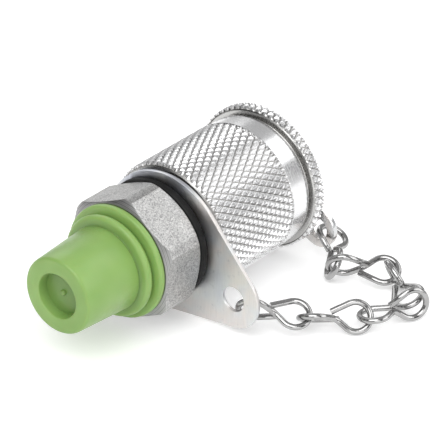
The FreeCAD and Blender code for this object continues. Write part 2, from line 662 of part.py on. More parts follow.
def knurl_sleeve(name, start, end, crest, count):
    """A sleeve of pointed diamonds, its inside sunk into the turned shell that carries it."""
    steps = 2 * round(count.number)
    step_turn = 2 * math.pi / steps
    row_long = step_turn * crest.number / math.tan(math.radians(dims.knurl_lean.number))
    length = end.number - start.number
    rows = max(2, round(length / row_long))
    low = crest.number - dims.knurl_deep.number
    inner = crest.number - KNURL_ROOT_DEPTH.number

    def ring(row, away_of):
        along = start.number + length * row / rows
        return [Vector(along, away_of(row, step) * math.cos(step * step_turn),
                       away_of(row, step) * math.sin(step * step_turn)) for step in range(steps)]

    def outside(row, step):
        crested = 0 < row < rows and (row + step) % 2 == 0
        return crest.number if crested else low

    loops = []
    for row in range(rows):
        near, far = ring(row, outside), ring(row + 1, outside)
        for step in range(steps):
            after = (step + 1) % steps
            if (row + step) % 2 == 0:
                loops.append((near[step], near[after], far[step]))
                loops.append((far[after], far[step], near[after]))
            else:
                loops.append((near[after], far[after], near[step]))
                loops.append((far[step], near[step], far[after]))
    near, near_rim = ring(0, lambda row, step: inner), ring(0, outside)
    far, far_rim = ring(rows, lambda row, step: inner), ring(rows, outside)
    for step in range(steps):
        after = (step + 1) % steps
        loops.append((near[step], near[after], near_rim[after], near_rim[step]))
        loops.append((far[step], far[after], far_rim[after], far_rim[step]))
        loops.append((near[step], near[after], far[after], far[step]))
    faces = [Part.Face(Part.makePolygon(list(loop) + [loop[0]])) for loop in loops]
    shell = Part.makeShell(faces)
    shell.sewShape()
    sleeve = doc.addObject("Part::Feature", name)
    sleeve.Shape = Part.makeSolid(shell)
    return sleeve


def screw_cap():
    """The turned shell of the cap, with the knurls of its wall and its flange."""
    shank_hole = dims.rivet_rad + dims.running_gap
    wall = CAP_RAD - KNURL_SEAT_DEPTH
    rim = CAP_FLANGE_RAD - KNURL_SEAT_DEPTH
    shell = turned_piece("cap_shell", [
        (CAP_START, CAP_MOUTH_RAD),
        (CAP_START, wall),
        (CAP_KNURL_END, wall),
        (CAP_KNURL_END, CAP_BAND_RAD),
        (CAP_BAND_END, CAP_BAND_RAD),
        (CAP_BAND_END, CAP_NECK_RAD),
        (CAP_FLANGE_START, CAP_NECK_RAD),
        (CAP_FLANGE_START, rim),
        (CAP_END, rim),
        (CAP_END, shank_hole),
        (CAP_RECESS_FLOOR, shank_hole),
        (CAP_RECESS_FLOOR, CAP_RECESS_RAD),
        (CAP_SEAL_END, CAP_RECESS_RAD),
        (CAP_SEAL_END, CAP_BORE_RAD),
        (CAP_START + dims.cap_mouth_long, CAP_BORE_RAD),
        (CAP_START + dims.cap_mouth_long, CAP_MOUTH_RAD)])
    long_knurl = knurl_sleeve("cap_knurl", CAP_START, CAP_KNURL_END, CAP_RAD, dims.cap_knurl_count)
    flange_knurl = knurl_sleeve("flange_knurl", CAP_FLANGE_START, CAP_END, CAP_FLANGE_RAD,
                                dims.flange_knurl_count)
    fused = doc.addObject("Part::MultiFuse", "screw_cap")
    fused.Label = "screw_cap"
    fused.Shapes = [shell, long_knurl, flange_knurl]
    fused.Refine = False
    doc.recompute()
    return fused


def cap_seal():
    return turned_piece("cap_seal", [
        (CAP_SEAL_START, CAP_SEAL_BORE),
        (CAP_SEAL_START, CAP_BORE_RAD - dims.face_gap),
        (CAP_SEAL_END, CAP_BORE_RAD - dims.face_gap),
        (CAP_SEAL_END, CAP_SEAL_BORE)])


def cap_rivet():
    head_end = RIVET_HEAD_START + dims.rivet_head_long
    return turned_piece("cap_rivet", [
        (RIVET_INNER_END - dims.rivet_head_long, ON_AXIS),
        (RIVET_INNER_END - dims.rivet_head_long, RIVET_HEAD_RAD - dims.rivet_foot_bevel),
        (RIVET_INNER_END - dims.rivet_head_long + dims.rivet_foot_bevel, RIVET_HEAD_RAD),
        (RIVET_INNER_END, RIVET_HEAD_RAD),
        (RIVET_INNER_END, dims.rivet_rad),
        (RIVET_HEAD_START, dims.rivet_rad),
        (RIVET_HEAD_START, RIVET_HEAD_RAD),
        (head_end - dims.rivet_brow_deep, RIVET_BROW_RAD),
        (head_end - dims.rivet_dome_deep, RIVET_DOME_RAD),
        (head_end, dims.rivet_crown_rad),
        (head_end, ON_AXIS)])


def rivet_washer():
    return turned_piece("rivet_washer", [
        (WASHER_START, dims.rivet_rad),
        (WASHER_START, WASHER_RAD),
        (WASHER_START + dims.washer_thick, WASHER_RAD),
        (WASHER_START + dims.washer_thick, dims.rivet_rad)])


def protective_cap():
    tip = -PLUG_LONG
    recess_floor = dims.plug_recess_deep - PLUG_LONG
    inside_end = recess_floor + dims.plug_wall
    bore = dims.stud_rad + dims.running_gap
    body = turned_piece("protective_cap", [
        (recess_floor - dims.plug_nub_long, ON_AXIS),
        (recess_floor - dims.plug_nub_long, dims.plug_nub_rad),
        (recess_floor, dims.plug_nub_rad),
        (recess_floor, PLUG_RECESS_RAD),
        (tip, PLUG_RECESS_RAD),
        (tip, PLUG_TIP_RAD),
        (-PLUG_BEAD_START, PLUG_BASE_RAD),
        (-PLUG_BEAD_START, PLUG_BEAD_RAD),
        (-PLUG_BEAD_END, PLUG_BEAD_RAD),
        (-PLUG_BEAD_END, PLUG_NECK_RAD),
        (-dims.plug_flange_start, PLUG_NECK_RAD),
        (-dims.plug_flange_start, PLUG_FLANGE_RAD),
        (-dims.face_gap, PLUG_FLANGE_RAD),
        (-dims.face_gap, bore),
        (inside_end, bore),
        (inside_end, ON_AXIS)])
    bead = [(-PLUG_BEAD_START, PLUG_BEAD_RAD), (-PLUG_BEAD_END, PLUG_BEAD_RAD)]
    round_rims(body, body.Tip, "bead_rounds", bead, dims.plug_bead_round)
    flange = [(-dims.plug_flange_start, PLUG_FLANGE_RAD)]
    round_rims(body, body.Tip, "flange_round", flange, dims.plug_flange_round)
    round_rims(body, body.Tip, "tip_round", [(tip, PLUG_TIP_RAD)], dims.plug_tip_round)
    return body


# A chain link is one wire bent to two open loops that stand square to each other.

def loop_edges(outward):
    """One loop from the twist to its free end; outward maps (along, side) to space."""
    ring = dims.link_loop.number
    middle = (dims.link_reach.number, -dims.link_offset.number)
    free = (-dims.link_end_back.number, -dims.link_end_side.number)

    def touch(start, side):
        along, across = middle[0] - start[0], middle[1] - start[1]
        span = math.hypot(along, across)
        lean = math.atan2(across, along) + side * math.asin(ring / span)
        run = math.sqrt(span * span - ring * ring)
        return (start[0] + run * math.cos(lean), start[1] + run * math.sin(lean)), lean

    first, lean = touch((0.0, 0.0), 1)
    last, _ = touch(free, -1)
    begin = (dims.link_twist.number * math.cos(lean), dims.link_twist.number * math.sin(lean))
    tip = (middle[0] + ring, middle[1])
    edges = [
        Part.LineSegment(outward(*begin), outward(*first)).toShape(),
        Part.Arc(outward(*first), outward(*tip), outward(*last)).toShape(),
        Part.LineSegment(outward(*last), outward(*free)).toShape()]
    return edges, outward(*begin), outward(*free)


def link_shape():
    left, left_start, left_free = loop_edges(lambda along, side: Vector(-along, side, 0))
    right, right_start, _ = loop_edges(lambda along, side: Vector(along, 0, side))
    toward = (-left_start).normalize()
    away = Vector(right_start).normalize()
    half = math.acos(toward.dot(away)) / 2
    bend = dims.link_twist.number / math.tan(half)
    inward = (away - toward).normalize()
    middle = inward * (bend / math.cos(half) - bend)
    twist = Part.Arc(left_start, middle, right_start).toShape()
    path = Part.Wire(Part.__sortEdges__(left + [twist] + right))
    start_line = left[2]
    heading = (start_line.Vertexes[0].Point - start_line.Vertexes[1].Point).normalize()
    circle = Part.Circle(left_free, heading, dims.link_wire.number)
    return path.makePipeShell([Part.Wire([circle.toShape()])], True, False)


# The chain is laid out by hand, from the plate's hole to the tag's eye. Both are given
# here by their place along the axis, reach from it and turn from straight up.
LAID_HOLE = (8.85, 14.13, 112.0)
LAID_EYE = (32.75, 10.9, 123.0)
LAID_HALF_LINK = 4.92

# Each link lies where it rests: its middle, its heading, its rise and its roll.
LINK_POSES = [
    ((12.55, -17.05, -7.65), -55.5, -9.5, 29.0),
    ((17.85, -23.55, -8.65), -46.0, -4.5, 54.0),
    ((24.60, -28.55, -8.65), -27.5, 2.0, 82.0),
    ((30.75, -25.35, -8.70), 58.0, -0.5, 66.0),
    ((30.95, -18.40, -8.30), 127.5, 3.0, 62.0),
    ((31.60, -12.75, -7.75), 38.0, 8.0, 26.0),
]


def beside_axis(along, reach, turn_by):
    lean = math.radians(turn_by)
    return Vector(along, -reach * math.sin(lean), reach * math.cos(lean))


def link_placement(middle, heading, rise, roll):
    """The link's long axis along heading and rise, its first loop rolled from upright."""
    turn_by, climb = math.radians(heading), math.radians(rise)
    along = Vector(math.cos(turn_by) * math.cos(climb), math.sin(turn_by) * math.cos(climb),
                   math.sin(climb))
    side = along.cross(Vector(0, 0, 1)).normalize()
    upright = side.cross(along)
    first = upright * math.cos(math.radians(roll)) + side * math.sin(math.radians(roll))
    return Placement(Vector(*middle), Rotation(along, first, along.cross(first), "ZXY"))


def chain_links():
    """Lays the chain so that it still runs from the hole to the eye when these move."""
    plate_middle = PLATE_START + dims.plate_thick / 2
    tag_middle = TAG_START + dims.tag_thick / 2
    hole = beside_axis(plate_middle.number, TAIL_HOLE_REACH.number, dims.tail_turn.number)
    eye = beside_axis(tag_middle.number, TAG_EYE_REACH.number, dims.tag_turn.number)
    laid_hole = beside_axis(*LAID_HOLE)
    laid_eye = beside_axis(*LAID_EYE)
    grown = (eye - hole).Length / (laid_eye - laid_hole).Length
    swing = Rotation(laid_eye - laid_hole, eye - hole)
    half_link = dims.link_reach + dims.link_loop
    shape = link_shape().scaled(grown * LAID_HALF_LINK / half_link.number)
    for number, pose in enumerate(LINK_POSES, start=1):
        laid = link_placement(*pose)
        link = doc.addObject("Part::Feature", "chain_link_%d" % number)
        link.Label = "chain_link_%d" % number
        link.Shape = shape
        link.Placement = Placement(hole + swing.multVec(laid.Base - laid_hole) * grown,
                                   swing.multiply(laid.Rotation))


def build():
    coupling_body()
    stud_seal()
    damper_ring()
    valve_insert()
    valve_poppet()
    seals()
    valve_spring()
    retaining_plate()
    screw_cap()
    cap_seal()
    cap_rivet()
    rivet_washer()
    chain_tag()
    protective_cap()
    chain_links()
    doc.recompute()


NODES = ["coupling_body", "stud_seal", "damper_ring", "valve_insert", "probe_seal", "insert_seal",
         "valve_poppet", "poppet_seal", "valve_spring", "retaining_plate", "screw_cap", "cap_seal",
         "cap_rivet", "rivet_washer", "chain_tag", "protective_cap"]
NODES += ["chain_link_%d" % number for number in range(1, len(LINK_POSES) + 1)]


def check():
    for item in doc.Objects:
        if "Invalid" in item.State or "Error" in item.State:
            raise RuntimeError("%s failed: %s" % (item.Name, item.State))
    for name in NODES:
        shape = doc.getObject(name).Shape
        if shape.isNull() or not shape.isValid() or not shape.Solids or shape.Volume <= 0:
            raise RuntimeError("%s has no sound solid" % name)


def export():
    os.makedirs("parts", exist_ok=True)
    for name in NODES:
        shape = doc.getObject(name).Shape
        shape.exportStep("parts/%s.step" % name)
        box = shape.BoundBox
        print("%-18s %d solid  %9.2f mm3  x %.2f..%.2f  y %.2f..%.2f  z %.2f..%.2f" % (
            name, len(shape.Solids), shape.Volume, box.XMin, box.XMax, box.YMin, box.YMax,
            box.ZMin, box.ZMax))


build()
check()
export()
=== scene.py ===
import json
import math

import bmesh
import bpy
from mathutils import Matrix, Vector


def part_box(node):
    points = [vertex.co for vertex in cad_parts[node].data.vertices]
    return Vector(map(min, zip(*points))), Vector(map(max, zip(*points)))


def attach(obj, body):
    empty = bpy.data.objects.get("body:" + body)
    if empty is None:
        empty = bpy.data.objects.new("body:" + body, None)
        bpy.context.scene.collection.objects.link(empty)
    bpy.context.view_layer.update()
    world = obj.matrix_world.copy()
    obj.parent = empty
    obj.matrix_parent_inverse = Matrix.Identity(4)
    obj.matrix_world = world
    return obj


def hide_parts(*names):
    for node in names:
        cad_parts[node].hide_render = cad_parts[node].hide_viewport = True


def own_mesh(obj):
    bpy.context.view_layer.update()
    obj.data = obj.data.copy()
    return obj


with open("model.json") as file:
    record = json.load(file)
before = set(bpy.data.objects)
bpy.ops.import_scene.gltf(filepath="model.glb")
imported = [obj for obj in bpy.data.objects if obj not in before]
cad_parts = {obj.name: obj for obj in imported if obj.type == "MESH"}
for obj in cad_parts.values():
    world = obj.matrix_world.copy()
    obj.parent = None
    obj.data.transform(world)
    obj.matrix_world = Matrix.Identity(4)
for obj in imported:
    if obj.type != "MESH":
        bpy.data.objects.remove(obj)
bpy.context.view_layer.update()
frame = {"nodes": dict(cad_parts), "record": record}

# Hydraulic test point coupling on a white table, dressed for a product picture.
# X runs along the turning axis from the green cap to the knurled cap, Z is up.
# Sizes of pieces are in millimetres, those of the studio in metres.

mm = 0.001
alongAxis = (1, 0, 0)
middle = (0, 0, 0)
turnedSteps = 144        # flat steps round a turned piece
threadSteps = 48         # steps in one turn of a thread
weldWithin = 0.0005      # points nearer than this are one
knurlWeld = 0.002        # the same between the diamonds of a knurl
knurlLean = 30           # degrees between a knurl's lines and the axis
barWithin = 0.03         # points this near to a bar's radius are on it
barMargin = 0.1          # bar left plain at both ends of its thread
ridgeShape = [(0.08, 0), (0.43, 1), (0.57, 1), (0.92, 0)]    # shares of a thread's pitch and height


# Finishes of steel, zinc, rubber and plastic.

class Signal:
    # one output of a shader node, so that sums are written as Python
    def __init__(self, tree, socket):
        self.tree = tree
        self.socket = socket

    def maths(self, operation, *values):
        node = self.tree.nodes.new("ShaderNodeMath")
        node.operation = operation
        for port, value in zip(node.inputs, values):
            if isinstance(value, Signal):
                self.tree.links.new(value.socket, port)
            else:
                port.default_value = value
        return Signal(self.tree, node.outputs[0])

    def __add__(self, other):
        return self.maths("ADD", self, other)

    def __radd__(self, other):
        return self.maths("ADD", other, self)

    def __sub__(self, other):
        return self.maths("SUBTRACT", self, other)

    def __rsub__(self, other):
        return self.maths("SUBTRACT", other, self)

    def __mul__(self, other):
        return self.maths("MULTIPLY", self, other)

    def __rmul__(self, other):
        return self.maths("MULTIPLY", other, self)

    def __pow__(self, other):
        return self.maths("POWER", self, other)

    def __gt__(self, other):
        return self.maths("GREATER_THAN", self, other)

    def __lt__(self, other):
        return self.maths("LESS_THAN", self, other)

    def __abs__(self):
        return self.maths("ABSOLUTE", self)


class Nodes:
    # a node tree with its shader, the place that patterns follow, and one way to add any other node
    def __init__(self, tree, shader, place):
        self.tree = tree
        self.shader = tree.nodes[shader]
        self.place = self.node("ShaderNodeTexCoord", None, None, place)

    def node(self, kind, settings=None, ports=None, out=0):
        node = self.tree.nodes.new(kind)
        for setting, value in (settings or {}).items():
            if setting == "stops":
                ramp = node.color_ramp.elements
                while len(ramp) < len(value):
                    ramp.new(1.0)
                for stop, (position, colour) in zip(ramp, value):
                    stop.position = position
                    stop.color = (*colour, 1.0)
            else:
                setattr(node, setting, value)
        for port, value in (ports or {}).items():
            if isinstance(value, Signal):
                self.tree.links.new(value.socket, node.inputs[port])
            else:
                node.inputs[port].default_value = value
        return Signal(self.tree, node.outputs[out])

    def feed(self, port, signal):
        self.tree.links.new(signal.socket, self.shader.inputs[port])

    def axes(self, vector=None):
        split = {"Vector": vector or self.place}
        return [self.node("ShaderNodeSeparateXYZ", None, split, out) for out in ("X", "Y", "Z")]

    def colours(self, signal, stops):
        return self.node("ShaderNodeValToRGB", {"stops": stops}, {"Fac": signal}, "Color")

    def blend(self, factor, first, second):
        # sockets 0, 6, 7 and 2 are the mix node's factor, its two colours and its result
        ports = {0: factor}
        for port, value in ((6, first), (7, second)):
            ports[port] = value if isinstance(value, Signal) else (*value, 1.0)
        return self.node("ShaderNodeMix", {"data_type": "RGBA"}, ports, 2)


class Finish(Nodes):
    # a material: the shader's fixed values, and the patterns that change over the surface
    def __init__(self, name, fixed):
        self.material = bpy.data.materials.new(name)
        self.material.use_nodes = True
        Nodes.__init__(self, self.material.node_tree, "Principled BSDF", "Object")
        for port, value in fixed.items():
            self.shader.inputs[port].default_value = value

    def alongAndAway(self):
        # places along the turning axis and away from it
        x, y, z = self.axes()
        return x, (y * y + z * z) ** 0.5

    def stretched(self, scale):
        return self.node("ShaderNodeMapping", None, {"Vector": self.place, "Scale": scale})

    def noise(self, scale, detail=2.0, rough=0.5, vector=None):
        ports = {"Vector": vector or self.place, "Scale": scale, "Detail": detail, "Roughness": rough}
        return self.node("ShaderNodeTexNoise", None, ports, "Fac")

    def rings(self, distance, scale, detail=2.0):
        ports = {"W": distance, "Scale": scale, "Detail": detail}
        return self.node("ShaderNodeTexNoise", {"noise_dimensions": "1D"}, ports, "Fac")

    def spread(self, signal, low, high, first=0.0, last=1.0):
        ports = {"Value": signal, "From Min": low, "From Max": high, "To Min": first, "To Max": last}
        return self.node("ShaderNodeMapRange", None, ports)

    def relief(self, height, distance):
        ports = {"Height": height, "Distance": distance * mm}
        self.feed("Normal", self.node("ShaderNodeBump", None, ports, "Normal"))


def grey(level, tint=(1.0, 1.0, 1.0)):
    return tuple(level * part for part in tint)


def hexSteel():
    # satin turned bar: grain on the flats, fine rings on the darker turned faces
    look = {"dark": 0.20, "light": 0.66, "rough": 0.38, "turned": 0.5, "facing": 0.2}
    steel = Finish("hexSteel", {"Metallic": 1.0})
    radius = steel.alongAndAway()[1]
    facing = steel.axes(steel.node("ShaderNodeTexCoord", None, None, "Normal"))
    turned = abs(facing[0]) > look["facing"]
    grain = steel.noise(4200.0, 4.0, 0.8)
    cloud = steel.noise(420.0, 4.0, 0.6)
    ring = steel.rings(radius, 7000.0, 4.0)
    tone = steel.spread(cloud * 0.15 + grain * 0.85 * (1 - turned) + ring * 0.85 * turned, 0.38, 0.62)
    bar = steel.blend(tone, grey(look["dark"]), grey(look["light"], (1.0, 0.995, 0.98)))
    steel.feed("Base Color", steel.blend(turned * look["turned"], bar, grey(look["dark"])))
    steel.feed("Roughness", steel.spread(grain, 0.3, 0.7, look["rough"] - 0.06, look["rough"] + 0.08))
    steel.relief(grain * (1 - turned) + ring * turned * 0.5, 0.02)
    return steel.material


def innerSteel():
    # bright turned stainless for the valve pieces
    steel = Finish("innerSteel", {"Metallic": 1.0})
    along, away = steel.alongAndAway()
    lines = steel.rings(along + away, 7000.0)
    steel.feed("Base Color", steel.blend(lines, grey(0.62), grey(0.74, (1.0, 0.99, 0.96))))
    steel.feed("Roughness", steel.spread(lines, 0.3, 0.7, 0.2, 0.32))
    steel.relief(lines, 0.004)
    return steel.material


def springSteel():
    # drawn wire, darker than the turned pieces
    steel = Finish("springSteel", {"Metallic": 1.0})
    drawn = steel.noise(2600.0, 2.0)
    steel.feed("Base Color", steel.blend(drawn, grey(0.34), grey(0.5)))
    steel.feed("Roughness", steel.spread(drawn, 0.3, 0.7, 0.25, 0.4))
    steel.relief(drawn, 0.004)
    return steel.material


def zincSheet(name, rough):
    # zinc plated sheet: faint blue, straw and pink clouds, rolling lines and small scuffs
    sheet = Finish(name, {"Metallic": 1.0})
    cloud = sheet.noise(150.0, 2.5)
    tint = sheet.colours(cloud, [
        (0.30, (0.60, 0.62, 0.69)),
        (0.45, (0.67, 0.68, 0.68)),
        (0.56, (0.71, 0.67, 0.64)),
        (0.70, (0.65, 0.68, 0.71))])
    rolled = sheet.noise(1.0, 2.0, 0.6, sheet.stretched((4000.0, 5200.0, 420.0)))
    scuffs = sheet.spread(sheet.noise(900.0, 4.0, 0.7), 0.58, 0.72)
    sheet.feed("Base Color", sheet.blend(scuffs * 0.5 + rolled * 0.35, tint, (0.42, 0.43, 0.45)))
    sheet.feed("Roughness", sheet.spread(rolled + scuffs * 0.4, 0.3, 0.9, rough - 0.06, rough + 0.12))
    sheet.relief(rolled + scuffs, 0.002)
    return sheet.material


def platedCap():
    # bright plating: painted shade darkens the knurl's valleys, and the colour is lighter on the crests and
    # the smooth band
    look = {"crest": 0.82, "valley": 0.52, "rough": 0.17, "valleyRadius": 9.62, "crestRadius": 9.84,
            "flange": 29.9, "flangeRise": 0.8}
    cap = Finish("platedCap", {"Metallic": 1.0})
    along, away = cap.alongAndAway()
    cloud = cap.noise(320.0, 3.0)
    onFlange = along > look["flange"] * mm
    height = away - onFlange * (look["flangeRise"] * mm)
    # painted shade: the base colour darkens from the crests down into the knurl's valleys, the valley grey
    # being the shade's colour
    crest = cap.spread(height, look["valleyRadius"] * mm, look["crestRadius"] * mm)
    valleyShadeToCrest = cap.blend(crest, grey(look["valley"], (1.0, 0.99, 0.97)), grey(look["crest"], (0.99, 0.99, 1.0)))
    cap.feed("Base Color", cap.blend(cap.spread(cloud, 0.3, 0.7) * 0.25, valleyShadeToCrest, grey(0.62)))
    fine = cap.rings(along, 6000.0) * 0.6 + cap.noise(3000.0, 2.0) * 0.4
    cap.feed("Roughness", cap.spread(fine, 0.3, 0.7, look["rough"], look["rough"] + 0.12))
    cap.relief(fine, 0.003)
    return cap.material


def chainWire():
    # bright drawn and plated wire with small tool marks
    wire = Finish("chainWire", {"Metallic": 1.0})
    cloud = wire.noise(700.0, 3.0)
    marks = wire.spread(wire.noise(2600.0, 3.0, 0.65), 0.55, 0.75)
    wire.feed("Base Color", wire.blend(cloud, grey(0.28, (1.0, 0.99, 0.98)), grey(0.48)))
    wire.feed("Roughness", wire.spread(marks, 0.0, 1.0, 0.07, 0.22))
    wire.relief(marks, 0.006)
    return wire.material


def blackRubber():
    # dull black with a little dust
    rubber = Finish("blackRubber", {"Metallic": 0.0, "Specular IOR Level": 0.22})
    skin = rubber.noise(3800.0, 3.0)
    dust = rubber.noise(500.0, 3.0)
    rubber.feed("Base Color", rubber.blend(rubber.spread(dust, 0.4, 0.8), grey(0.006), grey(0.02)))
    rubber.feed("Roughness", rubber.spread(skin, 0.3, 0.7, 0.5, 0.7))
    rubber.relief(skin, 0.008)
    return rubber.material


def greenPlastic():
    # soft moulded plastic: even colour, satin skin, and painted shade that darkens it down in the recess and
    # in the grooves
    look = {"deep": (0.195, 0.345, 0.080), "fresh": (0.285, 0.455, 0.138), "rough": 0.34,
            "shade": (0.085, 0.165, 0.032),
            "recess": (-12.7, -11.2, 3.32),         # top, floor and radius
            "groove": (-3.1, -0.9, 7.2, 6.2)}       # start, end, radius at the top and at the floor
    plastic = Finish("greenPlastic", {"Metallic": 0.0, "Subsurface Weight": 0.12, "Subsurface Scale": 0.002})
    along, away = plastic.alongAndAway()
    recessTop, recessFloor, recessRadius = look["recess"]
    grooveStart, grooveEnd, grooveTop, grooveFloor = look["groove"]
    # painted shade: the colour darkens towards the recess floor and towards the grooves' floor, blending to
    # the shade colour
    shaded = plastic.spread(along, recessTop * mm, recessFloor * mm, 0.0, 0.55) * (away < recessRadius * mm)
    inGroove = (along > grooveStart * mm) * (along < grooveEnd * mm)
    shaded = shaded + plastic.spread(away, grooveTop * mm, grooveFloor * mm, 0.0, 0.5) * inGroove
    flow = plastic.noise(120.0, 2.0)
    skin = plastic.noise(2400.0, 3.0)
    colour = plastic.blend(plastic.spread(flow, 0.25, 0.75), look["deep"], look["fresh"])
    plastic.feed("Base Color", plastic.blend(shaded, colour, look["shade"]))
    plastic.feed("Roughness", plastic.spread(skin, 0.3, 0.7, look["rough"] - 0.05, look["rough"] + 0.08))
    plastic.relief(skin, 0.006)
    return plastic.material


finishes = {
    "hexSteel": hexSteel(),
    "innerSteel": innerSteel(),
    "springSteel": springSteel(),
    "zincPlate": zincSheet("zincPlate", 0.36),
    "zincTag": zincSheet("zincTag", 0.24),
    "platedCap": platedCap(),
    "chainWire": chainWire(),
    "blackRubber": blackRubber(),
    "greenPlastic": greenPlastic(),
}
print("finishes made:", len(finishes))


# Helpers that turn outlines, cut the knurl and wind threads.

def allOf(shape):
    return shape.verts[:] + shape.edges[:] + shape.faces[:]


def finished(mesh, name, body, finish, stands, sharp):
    # the mesh becomes a piece that stands for its nodes, smooth shaded below the sharp angle
    data = bpy.data.meshes.new(name)
    mesh.to_mesh(data)
    mesh.free()
    data.polygons.foreach_set("use_smooth", [True] * len(data.polygons))
    data.set_sharp_from_angle(angle=math.radians(sharp))
    data.materials.append(finishes[finish])
    piece = bpy.data.objects.new(name, data)
    bpy.context.scene.collection.objects.link(piece)
    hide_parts(*stands)
    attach(piece, body)
    return piece


def joinInto(mesh, shape):
    passing = bpy.data.meshes.new("passing")
    shape.to_mesh(passing)
    shape.free()
    mesh.from_mesh(passing)
    bpy.data.meshes.remove(passing)


def latheInto(mesh, outline, rounds):
    # an outline of (along, away) corners, some of them rounded, turned about the X axis
    shape = bmesh.new()
    corners = [shape.verts.new((along * mm, 0, away * mm)) for along, away in outline]
    shape.faces.new(corners)
    for radius, which in rounds:
        bmesh.ops.bevel(shape, geom=[corners[index] for index in which], offset=radius * mm,
                        offset_type="OFFSET", affect="VERTICES", segments=4, profile=0.5, material=-1)
    bmesh.ops.delete(shape, geom=shape.faces[:], context="FACES_ONLY")
    bmesh.ops.spin(shape, geom=shape.verts[:] + shape.edges[:], cent=middle, axis=alongAxis,
                   dvec=middle, angle=2 * math.pi, steps=turnedSteps, use_merge=True)
    bmesh.ops.remove_doubles(shape, verts=shape.verts[:], dist=weldWithin * mm)
    loose = [edge for edge in shape.edges if not edge.link_faces]
    bmesh.ops.delete(shape, geom=loose, context="EDGES")
    bmesh.ops.recalc_face_normals(shape, faces=shape.faces[:])
    joinInto(mesh, shape)


def knurlInto(mesh, knurl):
    # one diamond with a blunt top, set in rows along the cap and copied round it, closed by an inner wall
    # its steps are pairs of inset and rise, as shares of the pitch and of the depth
    step = 2 * math.pi / knurl["count"]
    pitch = step * knurl["crest"]
    length = pitch / math.tan(math.radians(knurlLean))
    root = knurl["crest"] - knurl["deep"]
    shape = bmesh.new()
    bmesh.ops.create_circle(shape, cap_ends=True, segments=4, radius=1.0)
    bmesh.ops.scale(shape, vec=(length / 2 * mm, root * math.sin(step / 2) * mm, 1), verts=shape.verts)
    bmesh.ops.translate(shape, vec=(0, 0, root * mm), verts=shape.verts)
    sides = [vert for vert in shape.verts if abs(vert.co.y) > abs(vert.co.x)]
    bmesh.ops.translate(shape, vec=(0, 0, root * (math.cos(step / 2) - 1) * mm), verts=sides)
    bmesh.ops.recalc_face_normals(shape, faces=shape.faces[:])
    top = shape.faces[:]
    if top[0].normal.z < 0:
        bmesh.ops.reverse_faces(shape, faces=top)
    for inset, rise in knurl["steps"]:
        bmesh.ops.inset_individual(shape, faces=top, thickness=inset * pitch * mm,
                                   depth=rise * knurl["deep"] * mm)
    tile = allOf(shape)
    rows = math.ceil((knurl["end"] - knurl["start"]) / (length / 2)) + 2
    for row in range(1, rows):
        copied = bmesh.ops.duplicate(shape, geom=tile)["geom"]
        verts = [item for item in copied if isinstance(item, bmesh.types.BMVert)]
        bmesh.ops.translate(shape, vec=(row * length / 2 * mm, 0, 0), verts=verts)
        if row % 2:
            bmesh.ops.rotate(shape, cent=middle, matrix=Matrix.Rotation(step / 2, 3, "X"), verts=verts)
    bmesh.ops.translate(shape, vec=(knurl["start"] * mm, 0, 0), verts=shape.verts)
    bmesh.ops.spin(shape, geom=allOf(shape), cent=middle, axis=alongAxis,
                   dvec=middle, angle=2 * math.pi * (knurl["count"] - 1) / knurl["count"],
                   steps=knurl["count"] - 1, use_duplicate=True)
    bmesh.ops.remove_doubles(shape, verts=shape.verts[:], dist=knurlWeld * mm)
    for place, outward in ((knurl["start"], -1), (knurl["end"], 1)):
        slopeTop = place - outward * knurl["slope"]
        bmesh.ops.bisect_plane(shape, geom=allOf(shape), plane_co=(place * mm, 0, 0),
                               plane_no=(outward, 0, 0), clear_outer=True)
        bmesh.ops.bisect_plane(shape, geom=allOf(shape), plane_co=(slopeTop * mm, 0, 0),
                               plane_no=(outward, 0, 0))
        for vert in shape.verts:
            if abs(vert.co.x - place * mm) < knurlWeld / 2 * mm:
                away = math.hypot(vert.co.y, vert.co.z)
                vert.co.yz = vert.co.yz * (root - knurl["sunk"]) * mm / away
    bmesh.ops.remove_doubles(shape, verts=shape.verts[:], dist=knurlWeld * mm)
    bmesh.ops.dissolve_degenerate(shape, dist=knurlWeld * mm, edges=shape.edges[:])
    bmesh.ops.bridge_loops(shape, edges=[edge for edge in shape.edges if edge.is_boundary])
    bmesh.ops.recalc_face_normals(shape, faces=shape.faces[:])
    joinInto(mesh, shape)


def windRidge(mesh, thread, start, end):
    # a thread's ridge: one profile wound along the axis, running out into its bar at both ends
    pitch = thread["pitch"] * mm
    foot = thread["foot"] * mm
    rise = thread["crest"] * mm - foot
    shape = bmesh.new()
    profile = [(start + part * pitch, 0, foot + share * rise) for part, share in ridgeShape]
    shape.faces.new([shape.verts.new(corner) for corner in profile])
    turns = (end - start) / pitch - 1
    steps = round(turns * threadSteps)
    bmesh.ops.spin(shape, geom=allOf(shape), cent=middle, axis=alongAxis,
                   dvec=(pitch * turns / steps, 0, 0), angle=2 * math.pi * turns, steps=steps)
    for vert in shape.verts:
        away = math.hypot(vert.co.y, vert.co.z)
        grown = max(0.0, min(1.0, (vert.co.x - start) / pitch, (end - vert.co.x) / pitch))
        vert.co.yz = vert.co.yz * (foot + (away - foot) * grown) / away
    bmesh.ops.recalc_face_normals(shape, faces=shape.faces[:])
    joinInto(mesh, shape)


